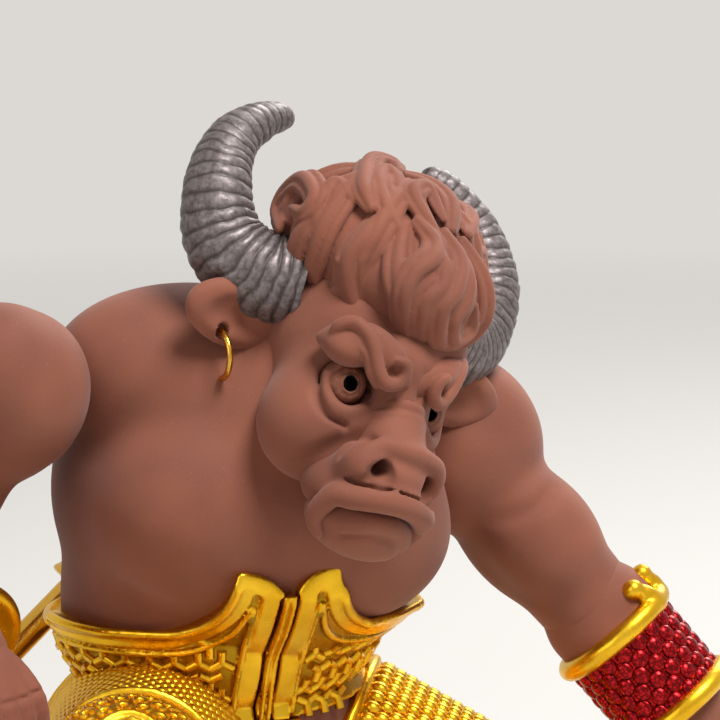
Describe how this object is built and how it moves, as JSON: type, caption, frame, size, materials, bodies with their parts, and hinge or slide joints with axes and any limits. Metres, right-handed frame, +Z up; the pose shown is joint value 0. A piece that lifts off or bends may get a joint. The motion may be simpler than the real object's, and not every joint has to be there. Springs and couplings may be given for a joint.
{
  "type": "clay warrior figurine",
  "caption": "Kneeling ox-headed clay warrior in gilt scale armour, with a staff slung in rings on its back",
  "frame": {"origin": "on the ground, under the middle of the figure's box", "axes": "+Z up; the figure faces -Y and its own left is +X"},
  "size_m": [0.1026, 0.0728, 0.1036],
  "materials": {
    "clay": "matt unglazed stoneware",
    "gilt": "burnished gilding",
    "lacquer": "glossy metallic red lacquer",
    "horn": "silver grey pearl glaze",
    "eye": "dark fired clay",
    "brass": "polished"
  },
  "bodies": {
    "figure": {"chest": "clay", "pelvis": "clay", "head": "clay", "muzzle": "clay", "lower_jaw": "clay", "brow_left": "clay", "brow_right": "clay", "ear_left": "clay", "ear_right": "clay", "forelock": "clay", "mane": "clay", "upper_arm_left": "clay", "upper_arm_right": "clay", "forearm_left": "clay", "forearm_right": "clay", "hand_left": "clay", "hand_right": "clay", "thigh_left": "clay", "thigh_right": "clay", "shin_left": "clay", "shin_right": "clay", "bracer_rim_upper_left": "gilt", "bracer_rim_lower_left": "gilt", "bracer_rim_upper_right": "gilt", "bracer_rim_lower_right": "gilt", "knee_guard_left": "gilt", "knee_guard_right": "gilt", "greave_left": "gilt", "greave_right": "gilt", "boot_left": "gilt", "boot_right": "gilt", "corset_stile": "gilt", "corset_front_left": "gilt", "corset_front_right": "gilt", "corset_back": "gilt", "front_flap": "gilt", "tasset_left": "gilt", "tasset_right": "gilt", "back_skirt": "gilt", "bracer_sleeve_left": "lacquer", "bracer_sleeve_right": "lacquer", "horn_left": "horn", "horn_right": "horn", "eye_left": "eye", "eye_right": "eye", "staff_ring_lower": "brass", "staff_ring_upper": "brass"},
    "staff": {"staff_shaft": "brass", "staff_ferrule": "brass", "staff_collar": "brass", "staff_finial": "brass"},
    "earring": {"earring": "brass"}
  },
  "joints": [
    {"name": "staff_slide", "type": "slide", "parent": "figure", "child": "staff", "axis": [0.7254, -0.0596, 0.6857], "range_m": [0, 0.033]},
    {"name": "earring_swing", "type": "hinge", "parent": "figure", "child": "earring", "pos_m": [-0.0122, -0.00371, 0.08012], "axis": [-0.0995, 0.995, 0], "range_deg": [-30, 30]}
  ]
}
